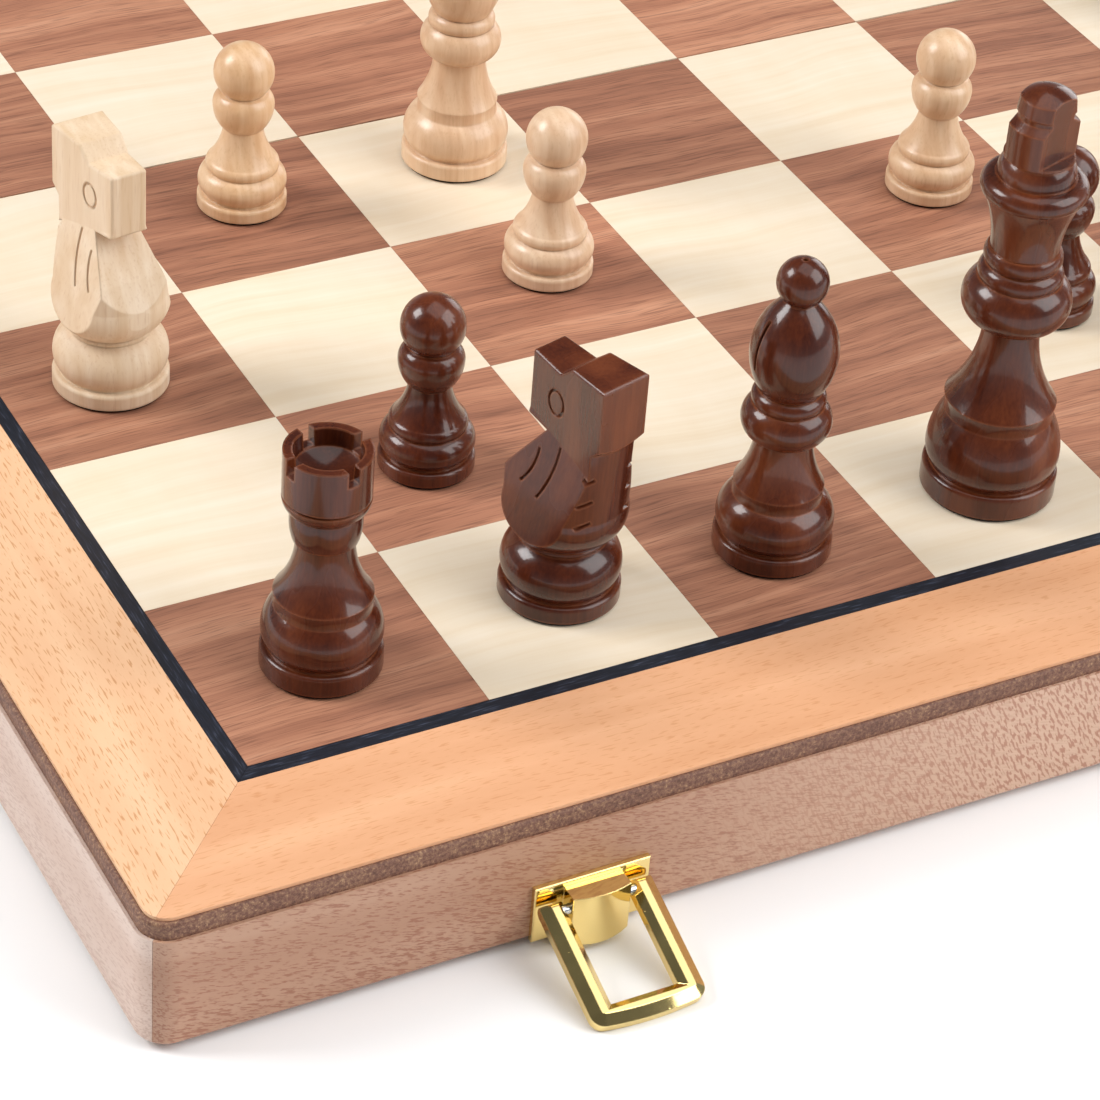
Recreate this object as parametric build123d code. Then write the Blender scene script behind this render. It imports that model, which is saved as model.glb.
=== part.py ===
from build123d import *
import math
import os

# Magnetic folding chess set, open on a table with its wells underneath.
# Lengths are in millimetres. X runs right along the near edge, Y runs away across the fold, +Z is up.
# Z = 0 is the table. The fold line runs along X.

# Board
square_side = 40.0
ranks_per_half = 4
files = 8
line_width = 2.8
border_width = 23.3
panel_overhang = 0.8
ledge_width = 0.5
case_height = 24.0
veneer_thickness = 0.6
veneer_joint = 0.04
panel_thickness = 3.0
panel_edge_radius = 0.7
steel_thickness = 0.5
steel_inset = 0.2

# Rails and wells
rail_thickness = 9.0
rail_corner_radius = 5.0
rail_edge_radius = 1.0
glue_line = 0.05
fold_gap = 0.4
slat_thickness = 3.0
slat_recess = 0.8
wells_across = 4
felt_thickness = 0.8
felt_margin = 0.5

# Hinges
rim_gap = 0.1
knuckle_radius = 1.3
knuckle_length = 5.0
knuckle_count = 5
knuckle_gap = 0.1
hinge_pin_radius = 0.6
hinge_spacing = 190.0
leaf_width = 8.2
leaf_thickness = 0.8
leaf_recess = 0.1
pin_clearance = 0.05
barrel_clearance = 0.3
mortise_clearance = 0.05

# Countersunk screws in the hinge leaves
screw_spacing = 15.0
screw_offset = 4.9
screw_shank_radius = 0.9
screw_head_radius = 1.8
screw_length = 7.0
screw_clearance = 0.03
screw_slot_width = 0.5
screw_slot_depth = 0.35
screw_slot_turn = 35.0

# Latches and keepers
latch_spacing = 231.6
plate_width = 19.6
plate_height = 10.6
plate_thickness = 1.0
plate_edge_radius = 0.3
prong_radius = 0.8
prong_length = 6.0
prong_spacing = 15.6
prong_height = 3.4
prong_clearance = 0.03
hood_width = 9.8
hood_height = 9.6
hood_depth = 3.1
hood_bow = 0.8
hood_base_bow = 0.8
latch_pin_radius = 0.8
latch_pin_bite = 2.4
latch_pin_out = 3.0
latch_pin_height = 7.0
arm_gap = 0.7
arm_width = 3.95
bail_thickness = 2.6
bail_reach = 16.6
crossbar_width = 2.9
crossbar_bow = 0.8
bail_bevel_height = 1.1
bail_outer_bevel = 1.65
bail_inner_bevel = 1.15
bail_corner_radius = 2.2
bail_end_radius = 1.1
hook_width = 9.0
hook_depth = 3.7
hook_bow = 0.3
hook_thickness = 2.0
hook_clearance = 0.3
hook_nose_radius = 0.8

# Magnets and felt soles of the men
magnet_radius = 4.0
magnet_thickness = 2.0
magnet_clearance = 0.05
sole_thickness = 0.6
sole_inset = 0.5

# Details that every turned man shares
groove_depth = 1.1
groove_height = 0.4
disc_rounding = 0.7
bulge_inset = 0.1
cove_bow = 0.15
quirk = 0.3

# King
king_foot_radius = 11.2
king_disc_height = 4.2
king_bulge_low = 2.8
king_bulge_high = 7.2
king_waist_radius = 8.9
king_ridge_height = 2.7
king_ridge_radius = 9.2
king_stem_length = 14.6
king_stem_radius = 4.7
king_stem_bow = 1.3
king_collar_height = 8.6
king_collar_radius = 8.9
king_collar_top_radius = 7.0
king_bead_height = 2.6
king_bead_radius = 6.9
king_bead_top_radius = 6.0
king_ring_height = 3.0
king_ring_radius = 6.4
king_neck_radius = 5.6
king_crown_height = 10.0
king_crown_bow = 0.6
king_rim_base_radius = 8.0
king_rim_height = 3.4
king_rim_radius = 8.6
king_rim_top_radius = 6.6
king_button_height = 3.2
king_button_radius = 6.2
king_finial_radius = 5.7
king_finial_height = 6.0
king_notch_depth = 1.1
king_notch_height = 0.8
king_tip_radius = 4.7
king_tip_height = 2.4
king_dome_height = 1.6
king_flat_offset = 3.5
king_flat_angle = 18.0

# Queen
queen_foot_radius = 10.6
queen_disc_height = 3.8
queen_bulge_low = 2.6
queen_bulge_high = 6.6
queen_waist_radius = 8.3
queen_ridge_height = 2.5
queen_ridge_radius = 8.5
queen_stem_length = 13.4
queen_stem_radius = 4.5
queen_stem_bow = 1.2
queen_collar_height = 7.8
queen_collar_radius = 8.2
queen_collar_top_radius = 6.4
queen_bead_height = 2.4
queen_bead_radius = 6.3
queen_neck_radius = 4.9
queen_crown_height = 15.0
queen_crown_bow = 1.5
queen_crown_radius = 7.6
queen_lip_height = 2.4
queen_bowl_depth = 1.0
queen_bowl_radius = 4.2
queen_dome_height = 2.0
queen_ball_neck_radius = 1.6
queen_ball_radius = 2.8
queen_notch_count = 8
queen_notch_radius = 1.3

# Rook
rook_foot_radius = 9.6
rook_disc_height = 3.5
rook_bulge_low = 2.8
rook_bulge_high = 4.5
rook_waist_radius = 7.7
rook_ridge_height = 2.3
rook_ridge_radius = 7.75
rook_stem_length = 10.1
rook_stem_radius = 4.6
rook_stem_bow = 0.9
rook_ring_height = 5.2
rook_ring_base_radius = 5.1
rook_ring_radius = 5.6
rook_bowl_height = 2.6
rook_bowl_bow = 0.5
rook_tower_radius = 6.85
rook_tower_height = 7.8
rook_tower_groove = 0.4
rook_wall = 1.5
rook_cup_depth = 3.1
rook_cup_sag = 1.3
rook_slot_width = 2.0
rook_slot_depth = 2.8
rook_slot_angle = 10.0

# Bishop
bishop_foot_radius = 9.7
bishop_disc_height = 3.0
bishop_bulge_low = 2.5
bishop_bulge_high = 4.3
bishop_waist_radius = 7.3
bishop_ridge_height = 2.3
bishop_ridge_radius = 7.3
bishop_stem_length = 8.8
bishop_stem_radius = 4.7
bishop_stem_bow = 0.6
bishop_collar_height = 6.4
bishop_collar_radius = 7.3
bishop_collar_top_radius = 5.9
bishop_bead_height = 2.5
bishop_bead_radius = 6.0
bishop_mitre_base_radius = 4.9
bishop_mitre_height = 16.3
bishop_mitre_bow = 3.1
bishop_mitre_top_radius = 2.9
bishop_ball_radius = 4.15
bishop_mark_radius = 0.45
bishop_mark_depth = 0.8
bishop_slit_width = 0.6
bishop_slit_depth = 2.0
bishop_slit_low = 35.8
bishop_slit_length = 9.8

# Pawn
pawn_foot_radius = 8.05
pawn_disc_height = 2.4
pawn_bulge_low = 2.1
pawn_bulge_high = 2.5
pawn_waist_radius = 6.3
pawn_ring_radius = 6.6
pawn_ring_height = 2.0
pawn_stem_length = 6.4
pawn_stem_radius = 3.5
pawn_stem_bow = 0.45
pawn_collar_low = 4.6
pawn_collar_high = 2.1
pawn_collar_radius = 5.5
pawn_collar_top_radius = 4.5
pawn_neck_radius = 3.8
pawn_ball_radius = 5.4

# Knight
knight_foot_radius = 9.8
knight_disc_height = 2.8
knight_bulge_low = 2.9
knight_bulge_high = 4.7
knight_waist_radius = 6.9
knight_collar_height = 0.9
knight_collar_radius = 7.2
knight_chest_start_radius = 6.9
knight_chest_height = 7.0
knight_chest_radius = 9.8
knight_chest_bow = 1.3
knight_height = 45.6
knight_back = 10.9
knight_muzzle = 6.3
knight_muzzle_top = 44.0
knight_brow = 43.3
knight_muzzle_bottom = 32.6
knight_throat = 1.6
knight_throat_drop = 0.9
knight_chest_corner = 7.2
knight_chest_corner_height = 24.0
knight_crest_front = 3.2
knight_crest_slope = 2.6
knight_crest_bottom = 33.0
knight_nape_radius = 10.2
knight_cheek = 3.75
knight_cheek_taper = 0.085
knight_side_spread = 0.27
knight_head_bottom = 31.5
knight_edge_radius = 0.5
knight_engraving = 0.45
knight_line_width = 0.5
knight_line_height = 30.5
knight_line_lengths = (9.5, 6.5)
knight_line_lean = 2.0
knight_line_bow = 0.7
knight_line_spacing = 4.0
knight_eye_height = 37.6
knight_eye_radius = 2.0
knight_eye_tall = 2.4
knight_nick_length = 2.6
knight_nick_width = 0.6
knight_nick_count = 3
knight_nick_rise = 4.2
knight_nick_spread = 4.6
knight_nick_lean = 25.0
knight_nick_slant = 30.0

# Places worked out from the sizes above
axis_z = knuckle_radius
rim_z = axis_z + rim_gap / 2
top_z = rim_z + case_height
panel_top = top_z - veneer_thickness
panel_bottom = panel_top - panel_thickness
squares_half_width = files * square_side / 2
squares_depth = ranks_per_half * square_side
veneer_half_width = squares_half_width + line_width + border_width
veneer_depth = squares_depth + line_width + border_width
panel_half_width = veneer_half_width + panel_overhang
panel_depth = veneer_depth + panel_overhang
case_half_width = panel_half_width + ledge_width
case_depth = panel_depth + ledge_width
spine_y = -fold_gap / 2
well_half_width = case_half_width - rail_thickness
well_near_y = -case_depth + rail_thickness
well_far_y = spine_y - rail_thickness
well_height = panel_bottom - rim_z
slat_height = well_height - slat_recess
pivot_y = -case_depth - latch_pin_out
pivot_z = rim_z + latch_pin_height
arm_inner = hood_width / 2 + arm_gap
arm_outer = arm_inner + arm_width
bail_tip = bail_reach + crossbar_width + crossbar_bow
hook_low = latch_pin_height - bail_reach + hook_clearance
tip_radius = math.hypot(bail_tip, bail_thickness / 2)
rest_droop = math.asin(pivot_z / tip_radius) - math.atan(bail_thickness / 2 / bail_tip)
front_reach = latch_pin_out + bail_tip * math.cos(rest_droop) \
    + (bail_thickness / 2 - bail_bevel_height) * math.sin(rest_droop)
back_reach = plate_thickness + hook_depth + hook_bow
fold_y = (front_reach - back_reach) / 2


def plate(x_low, x_high, y_low, y_high, z_low, z_high):
    """Block between two opposite corners."""
    size = (x_high - x_low, y_high - y_low, z_high - z_low)
    middle = ((x_low + x_high) / 2, (y_low + y_high) / 2, (z_low + z_high) / 2)
    return Pos(*middle) * Box(*size)


def outline(half_width, depth, radius, z, height):
    """Slab of one half in plan, square at the fold and rounded at its two outer corners."""
    sketch = Pos(0, (spine_y - depth) / 2) * Rectangle(2 * half_width, depth + spine_y)
    outer = sketch.vertices().sort_by(Axis.Y)[:2]
    return Pos(0, 0, z) * extrude(fillet(outer, radius), height)


def bodies(shape):
    """Separate solids of a shape as one compound."""
    return Compound(children=list(shape.solids()))


def far(shape):
    """The same piece in the half across the fold."""
    return bodies(mirror(shape, about=Plane.XZ))


def panel():
    """Fibreboard top with the shallow bed of the steel sheet."""
    board = outline(panel_half_width, panel_depth, rail_corner_radius - ledge_width,
                    panel_bottom, panel_thickness)
    rim = board.edges().filter_by_position(Axis.Z, panel_top, panel_top)
    rim = rim.filter_by(lambda edge: edge.center().Y < spine_y - panel_edge_radius)
    board = fillet(rim.filter_by(lambda edge: edge.length < 2 * panel_depth or
                                 edge.center().Y < -panel_depth / 2), panel_edge_radius)
    bed = plate(-squares_half_width, squares_half_width, -squares_depth, spine_y + 1,
                panel_top - steel_thickness, panel_top + 1)
    return board - bed


def steel_sheet():
    """Thin sheet that the magnets hold to."""
    return plate(-squares_half_width + steel_inset, squares_half_width - steel_inset,
                 -squares_depth + steel_inset, spine_y - steel_inset,
                 panel_top - steel_thickness, panel_top)


def strips(outer_half_width, outer_depth, width, radius):
    """Three mitred strips of veneer round the near and side edges of a half."""
    inner_half_width = outer_half_width - width
    inner_depth = outer_depth - width
    ring = outline(outer_half_width, outer_depth, radius, panel_top, veneer_thickness)
    ring -= plate(-inner_half_width, inner_half_width, -inner_depth, 1, panel_top, top_z)
    for side in (-1, 1):
        corner = Pos(side * (outer_half_width - width / 2), -(outer_depth - width / 2), top_z)
        ring -= corner * Rot(0, 0, side * 45) * Box(veneer_joint, 3 * width, 2 * case_height)
    return bodies(ring)


def border_veneer():
    """Mitred beech strips."""
    return strips(veneer_half_width, veneer_depth, border_width - veneer_joint,
                  rail_corner_radius - ledge_width - panel_overhang)


def inlay_line():
    """Mitred black strips between the border and the squares."""
    return strips(squares_half_width + line_width, squares_depth + line_width,
                  line_width - veneer_joint, veneer_joint)


def squares(parity, first_rank):
    """Veneer squares of one wood in one half; walnut has parity 0."""
    pieces = []
    for file in range(files):
        for rank in range(first_rank, first_rank + ranks_per_half):
            if (file + rank) % 2 == parity:
                x = (file - (files - 1) / 2) * square_side
                y = (rank - ranks_per_half + 0.5) * square_side
                tile = Pos(x, y, panel_top + veneer_thickness / 2) * Box(
                    square_side - veneer_joint, square_side - veneer_joint, veneer_thickness)
                gap = plate(x - square_side, x + square_side, spine_y, -spine_y, panel_top, top_z)
                pieces += (tile - gap).solids()
    return Compound(children=pieces)


def hinge_places():
    return [(side * hinge_spacing / 2) for side in (-1, 1)]


def latch_places():
    return [(side * latch_spacing / 2) for side in (-1, 1)]


def screw_places():
    """Screw centres in the near half."""
    return [(x + side * screw_spacing / 2, -screw_offset) for x in hinge_places() for side in (-1, 1)]


def along_x(radius, length, x, y, z):
    """Cylinder that lies along X, centred."""
    return Pos(x, y, z) * Rot(0, 90, 0) * Cylinder(radius, length)


def along_y(radius, length, x, y, z):
    """Cylinder that lies along Y, centred."""
    return Pos(x, y, z) * Rot(90, 0, 0) * Cylinder(radius, length)


def screw(clearance):
    """Countersunk screw, head down in the rim, or the room it needs."""
    head = screw_head_radius + clearance
    shank = screw_shank_radius + clearance
    cone = head - shank
    low = rim_z + leaf_recess
    shape = Pos(0, 0, low + cone / 2) * Cone(head, shank, cone)
    return shape + Pos(0, 0, low + screw_length / 2) * Cylinder(shank, screw_length)


def screws():
    """Hinge screws of the near half."""
    slot = Pos(0, 0, rim_z + leaf_recess) * Box(3 * screw_head_radius, screw_slot_width, 2 * screw_slot_depth)
    one = screw(0) - slot
    return bodies(Compound(children=[Pos(x, y, 0) * Rot(0, 0, n * screw_slot_turn) * one
                                     for n, (x, y) in enumerate(screw_places())]))


def hinge_half_length():
    return knuckle_count * knuckle_length / 2


def rails():
    """Four beech rails, mitred, with the mortises, pockets and holes of the metalwork."""
    ring = outline(case_half_width, case_depth, rail_corner_radius, rim_z, well_height)
    low = ring.edges().filter_by_position(Axis.Z, rim_z, rim_z)
    ring = fillet(low.filter_by(lambda edge: edge.length < case_depth + 1 or
                                edge.center().Y < -case_depth / 2), rail_edge_radius)
    ring -= plate(-well_half_width, well_half_width, well_near_y, well_far_y, rim_z, panel_bottom)
    for x in hinge_places():
        ring -= along_x(knuckle_radius + barrel_clearance, 2 * (hinge_half_length() + barrel_clearance),
                        x, 0, axis_z)
        reach = hinge_half_length() + mortise_clearance
        ring -= plate(x - reach, x + reach, -leaf_width - mortise_clearance, spine_y,
                      rim_z, rim_z + leaf_recess + leaf_thickness)
    for x, y in screw_places():
        ring -= Pos(x, y, 0) * screw(screw_clearance)
    for x in latch_places():
        for side in (-1, 1):
            ring -= along_y(prong_radius + prong_clearance, 2 * (prong_length + prong_clearance),
                            x + side * prong_spacing / 2, -case_depth, rim_z + prong_height)
    for side in (-1, 1):
        for y, turn in ((-case_depth + rail_thickness / 2, 45), (spine_y - rail_thickness / 2, -45)):
            cut = Box(glue_line, 3 * rail_thickness, 3 * case_height)
            ring -= Pos(side * (case_half_width - rail_thickness / 2), y, 0) * Rot(0, 0, side * turn) * cut
    return bodies(ring)


def well_columns():
    """Left and right bounds of each column of wells."""
    pitch = (2 * well_half_width + slat_thickness) / wells_across
    lows = [-well_half_width + n * pitch for n in range(wells_across)]
    return [(low, low + pitch - slat_thickness) for low in lows]


def well_rows():
    """Near and far bounds of each row of wells."""
    middle = (well_near_y + well_far_y) / 2
    return [(well_near_y, middle - slat_thickness / 2), (middle + slat_thickness / 2, well_far_y)]


def dividers():
    """One long slat and the short slats that butt against it."""
    low = panel_bottom - slat_height
    rows = well_rows()
    slats = [plate(-well_half_width, well_half_width, rows[0][1], rows[1][0], low, panel_bottom)]
    for y_low, y_high in rows:
        for left, right in zip(well_columns(), well_columns()[1:]):
            slats.append(plate(left[1], right[0], y_low + glue_line, y_high - glue_line, low, panel_bottom))
    return Compound(children=slats)


def felt_lining():
    """A piece of felt in each well, glued under the panel."""
    pads = []
    for x_low, x_high in well_columns():
        for y_low, y_high in well_rows():
            pads.append(plate(x_low + felt_margin, x_high - felt_margin, y_low + felt_margin,
                              y_high - felt_margin, panel_bottom - felt_thickness, panel_bottom))
    return Compound(children=pads)


def hinge_leaves(own):
    """Near leaves; own tells which knuckles, even (0) or odd (1), are rolled on them."""
    leaves = []
    for centre in hinge_places():
        low = rim_z + leaf_recess
        leaf = plate(centre - hinge_half_length(), centre + hinge_half_length(),
                     -leaf_width, 0, low, low + leaf_thickness)
        start = centre - hinge_half_length()
        for n in range(knuckle_count):
            x = start + (n + 0.5) * knuckle_length
            if n % 2 == own:
                leaf += along_x(knuckle_radius, knuckle_length - knuckle_gap, x, 0, axis_z)
            else:
                leaf -= along_x(knuckle_radius + barrel_clearance, knuckle_length + knuckle_gap,
                                x, 0, axis_z)
                leaf -= plate(x - (knuckle_length + knuckle_gap) / 2, x + (knuckle_length + knuckle_gap) / 2,
                              -knuckle_radius - barrel_clearance, 1, 0, top_z)
        leaf -= along_x(hinge_pin_radius + pin_clearance, 3 * hinge_half_length(), centre, 0, axis_z)
        for x, y in screw_places():
            leaf -= Pos(x, y, 0) * screw(screw_clearance)
        leaves += leaf.solids()
    return Compound(children=leaves)


def hinge_pins():
    """Steel wire through the knuckles."""
    return Compound(children=[along_x(hinge_pin_radius, 2 * hinge_half_length() - knuckle_gap, x, 0, axis_z)
                              for x in hinge_places()])


def catch_plate(x):
    """Back plate on the near face with its two prongs."""
    face = -case_depth
    back = plate(x - plate_width / 2, x + plate_width / 2, face - plate_thickness, face,
                 rim_z, rim_z + plate_height)
    back = fillet(back.edges().filter_by_position(Axis.Y, face - plate_thickness - 0.01,
                                                  face - plate_thickness + 0.01), plate_edge_radius)
    for side in (-1, 1):
        back += along_y(prong_radius, prong_length, x + side * prong_spacing / 2,
                        face + prong_length / 2, rim_z + prong_height)
    return back


def bowed_block(x, width, depth, bow):
    """Block on the near face whose front stands out by bow in plan."""
    face = -case_depth - plate_thickness / 2
    front = -case_depth - plate_thickness - depth
    left = (x - width / 2, front)
    right = (x + width / 2, front)
    edges = [Line((x - width / 2, face), left), ThreePointArc(left, (x, front - bow), right),
             Line(right, (x + width / 2, face)), Line((x + width / 2, face), (x - width / 2, face))]
    return make_face(edges)


def latch_plates():
    """Castings that carry the bails: a plate with a hood between the arms."""
    castings = []
    for x in latch_places():
        hood = Pos(0, 0, rim_z) * extrude(bowed_block(x, hood_width, hood_depth, hood_bow), hood_height)
        side = hood_base_bow
        curve = [Line((x - hood_width / 2, side), (x - hood_width / 2, hood_height)),
                 Line((x - hood_width / 2, hood_height), (x + hood_width / 2, hood_height)),
                 Line((x + hood_width / 2, hood_height), (x + hood_width / 2, side)),
                 ThreePointArc((x + hood_width / 2, side), (x, 0), (x - hood_width / 2, side))]
        front = Pos(0, 0, rim_z) * extrude(Plane.XZ * make_face(curve), 2 * case_depth)
        casting = catch_plate(x) + (hood & front)
        casting -= along_x(latch_pin_radius + pin_clearance, 2 * hood_width, x, pivot_y, pivot_z)
        castings += casting.solids()
    return Compound(children=castings)


def latch_pins():
    """Steel pivots through the hoods."""
    return Compound(children=[along_x(latch_pin_radius, 2 * (arm_inner + latch_pin_bite), x, pivot_y, pivot_z)
                              for x in latch_places()])


def latch_bail(x):
    """U-shaped bail with ridged arms, drooping so that its crossbar rests on the table."""
    tip = bail_tip - crossbar_bow
    back = -bail_thickness / 2
    edges = [Line((-arm_inner, back), (-arm_inner, bail_reach)),
             Line((-arm_inner, bail_reach), (arm_inner, bail_reach)),
             Line((arm_inner, bail_reach), (arm_inner, back)),
             Line((arm_inner, back), (arm_outer, back)),
             Line((arm_outer, back), (arm_outer, tip)),
             ThreePointArc((arm_outer, tip), (0, bail_tip), (-arm_outer, tip)),
             Line((-arm_outer, tip), (-arm_outer, back)),
             Line((-arm_outer, back), (-arm_inner, back))]
    plan = make_face(edges)
    plan = fillet(plan.vertices().sort_by(Axis.Y)[-2:], bail_corner_radius)
    bail = extrude(Pos(0, 0, -bail_thickness / 2) * plan, bail_thickness)
    for outer, bevel in ((True, bail_outer_bevel), (False, bail_inner_bevel)):
        top = bail.faces().sort_by(Axis.Z)[-1]
        rims = top.edges().filter_by(lambda edge: edge.center().Y > 0 and outer == (
            abs(edge.center().X) > arm_inner + quirk or edge.center().Y > bail_reach + quirk))
        bail = chamfer(rims, bevel, bail_bevel_height, reference=top)
    ends = bail.edges().filter_by(Axis.X).filter_by(lambda edge: edge.center().Y < 0)
    bail = fillet(ends, bail_end_radius)
    for side in (-1, 1):
        reach = latch_pin_bite + pin_clearance
        bail -= along_x(latch_pin_radius + pin_clearance, reach, side * (arm_inner + reach / 2), 0, 0)
    turned_out = Rot(0, 0, 180) * bail
    return Pos(x, pivot_y, pivot_z) * Rot(math.degrees(rest_droop), 0, 0) * turned_out


def keeper_plates():
    """Castings with the hook that each crossbar snaps under, on the near face before mirroring."""
    castings = []
    for x in latch_places():
        hook = Pos(0, 0, rim_z - hook_low - hook_thickness) * extrude(
            bowed_block(x, hook_width, hook_depth, hook_bow), hook_thickness)
        nose = hook.edges().filter_by(Axis.Z).sort_by(Axis.Y)[:2]
        castings += (catch_plate(x) + fillet(nose, hook_nose_radius)).solids()
    return Compound(children=castings)


def turned(cuts):
    """Solid turned about Z. Each cut is (radius, rise, bow) from the one before, starting on the axis."""
    at = (0.0, sole_thickness)
    edges = []
    for radius, rise, bow in cuts:
        to = (radius, at[1] + rise)
        if to == at:
            continue
        if bow:
            length = math.dist(at, to)
            out = ((to[1] - at[1]) / length, (at[0] - to[0]) / length)
            middle = ((at[0] + to[0]) / 2 + out[0] * bow, (at[1] + to[1]) / 2 + out[1] * bow)
            edges.append(ThreePointArc(at, middle, to))
        else:
            edges.append(Line(at, to))
        at = to
    edges.append(Line(at, (0.0, sole_thickness)))
    return revolve(Plane.XZ * make_face(edges), Axis.Z)


def upright_arc(start, end, rise):
    """Cut of an arc that stands upright at its wider end."""
    chord = math.hypot(end - start, rise)
    radius = chord ** 2 / (2 * abs(end - start))
    return (end, rise, radius - math.sqrt(radius ** 2 - chord ** 2 / 4))


def swell(start, radius, end, low, high):
    """Cuts of a full bulge that is widest where its low part meets its high one."""
    return [(start, 0, 0), upright_arc(start, radius, low), upright_arc(radius, end, high)]


def foot(radius, disc_height, bulge_low, bulge_high, waist_radius):
    """Cuts of the disc, the groove and the bulge at the foot of a man."""
    inner = radius - groove_depth
    cuts = [(radius, 0, 0), (radius, disc_height - disc_rounding, 0),
            upright_arc(radius, radius - disc_rounding, disc_rounding),
            (inner, 0, 0), (inner, groove_height, 0)]
    return cuts + swell(inner, radius - bulge_inset, waist_radius, bulge_low, bulge_high)


def bead(start, radius, end, height):
    """Cuts of a half-round bead that swells to radius."""
    return [(start, 0, 0), (end, height, radius - (start + end) / 2)]


def ball(start, radius, seat):
    """Cuts of a ball to the axis that begins at the start radius, a seat's height above."""
    below = math.sqrt(radius ** 2 - start ** 2)
    return [(start, seat, 0),
            (radius, below, radius - math.hypot((start + radius) / 2, below / 2)),
            (0, radius, radius * (1 - math.sqrt(0.5)))]


def cap(start, rise):
    """Cut of a round cap from the start radius to the axis; a negative rise makes a hollow."""
    chord = math.hypot(start, rise)
    radius = chord ** 2 / (2 * abs(rise))
    return [(0, rise, math.copysign(radius - math.sqrt(radius ** 2 - chord ** 2 / 4), rise))]


def king_body():
    """King with a crown and a finial with two sawn flats."""
    cuts = foot(king_foot_radius, king_disc_height, king_bulge_low, king_bulge_high, king_waist_radius)
    cuts += [(king_ridge_radius, king_ridge_height, -cove_bow),
             (king_stem_radius, king_stem_length, -king_stem_bow)]
    cuts += bead(king_stem_radius + quirk, king_collar_radius, king_collar_top_radius, king_collar_height)
    cuts += bead(king_collar_top_radius - quirk, king_bead_radius, king_bead_top_radius, king_bead_height)
    cuts += bead(king_bead_top_radius - quirk, king_ring_radius, king_neck_radius + quirk, king_ring_height)
    cuts += [(king_neck_radius, 0, 0), (king_rim_base_radius, king_crown_height, -king_crown_bow)]
    cuts += bead(king_rim_base_radius, king_rim_radius, king_rim_top_radius, king_rim_height)
    cuts += bead(king_rim_top_radius - quirk, king_button_radius, king_finial_radius - quirk,
                 king_button_height)
    notch = king_tip_radius - quirk
    cuts += [(king_finial_radius, quirk, 0), (king_finial_radius, king_finial_height, 0),
             (notch, king_notch_depth, 0), (notch, king_notch_height, 0), (king_tip_radius, quirk, 0),
             (notch, king_tip_height, 0)]
    cuts += cap(notch, king_dome_height)
    body = turned(cuts)
    flats_from = sole_thickness + sum(cut[1] for cut in cuts) - king_dome_height - king_tip_height \
        - king_notch_height - king_notch_depth - king_finial_height
    for side in (-1, 1):
        low = king_flat_offset if side > 0 else -2 * king_rim_radius
        high = 2 * king_rim_radius if side > 0 else -king_flat_offset
        waste = plate(-2 * king_rim_radius, 2 * king_rim_radius, low, high, flats_from, 2 * flats_from)
        body -= Rot(0, 0, king_flat_angle) * waste
    return body


def queen_body():
    """Queen with a notched coronet and a small ball."""
    cuts = foot(queen_foot_radius, queen_disc_height, queen_bulge_low, queen_bulge_high,
                queen_waist_radius)
    cuts += [(queen_ridge_radius, queen_ridge_height, -cove_bow),
             (queen_stem_radius, queen_stem_length, -queen_stem_bow)]
    cuts += bead(queen_stem_radius + quirk, queen_collar_radius, queen_collar_top_radius,
                 queen_collar_height)
    cuts += bead(queen_collar_top_radius - quirk, queen_bead_radius, queen_neck_radius + quirk,
                 queen_bead_height)
    cuts += [(queen_neck_radius, 0, 0), (queen_crown_radius, queen_crown_height, -queen_crown_bow),
             (queen_crown_radius - quirk, queen_lip_height, 0),
             (queen_bowl_radius, -queen_bowl_depth, 0),
             (queen_ball_neck_radius, queen_dome_height, quirk)]
    coronet_top = sole_thickness + sum(cut[1] for cut in cuts) - queen_dome_height + queen_bowl_depth
    cuts += ball(queen_ball_neck_radius, queen_ball_radius, quirk)
    body = turned(cuts)
    for n in range(queen_notch_count):
        turn = Rot(0, 0, (n + 0.5) * 360 / queen_notch_count)
        body -= turn * along_x(queen_notch_radius, queen_crown_radius,
                               queen_crown_radius + quirk, 0, coronet_top)
    return body


def rook_body():
    """Rook with a hollow tower and four battlements."""
    cuts = foot(rook_foot_radius, rook_disc_height, rook_bulge_low, rook_bulge_high, rook_waist_radius)
    cuts += [(rook_ridge_radius, rook_ridge_height, -cove_bow),
             (rook_stem_radius, rook_stem_length, -rook_stem_bow)]
    cuts += bead(rook_ring_base_radius, rook_ring_radius, rook_ring_base_radius + quirk, rook_ring_height)
    cuts += [(rook_ring_base_radius, 0, 0), (rook_tower_radius, rook_bowl_height, rook_bowl_bow),
             (rook_tower_radius - rook_tower_groove, 0, 0),
             (rook_tower_radius - rook_tower_groove, rook_tower_groove, 0),
             (rook_tower_radius, 0, 0), (rook_tower_radius, rook_tower_height, 0),
             (rook_tower_radius - rook_wall, 0, 0),
             (rook_tower_radius - rook_wall - quirk, -rook_cup_depth, 0)]
    cuts += cap(rook_tower_radius - rook_wall - quirk, -rook_cup_sag)
    top = sole_thickness + sum(cut[1] for cut in cuts) + rook_cup_depth + rook_cup_sag
    body = turned(cuts)
    for quarter in (0, 90):
        slot = Pos(0, 0, top) * Box(3 * rook_tower_radius, rook_slot_width, 2 * rook_slot_depth)
        body -= Rot(0, 0, rook_slot_angle + quarter) * slot
    return body


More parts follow.
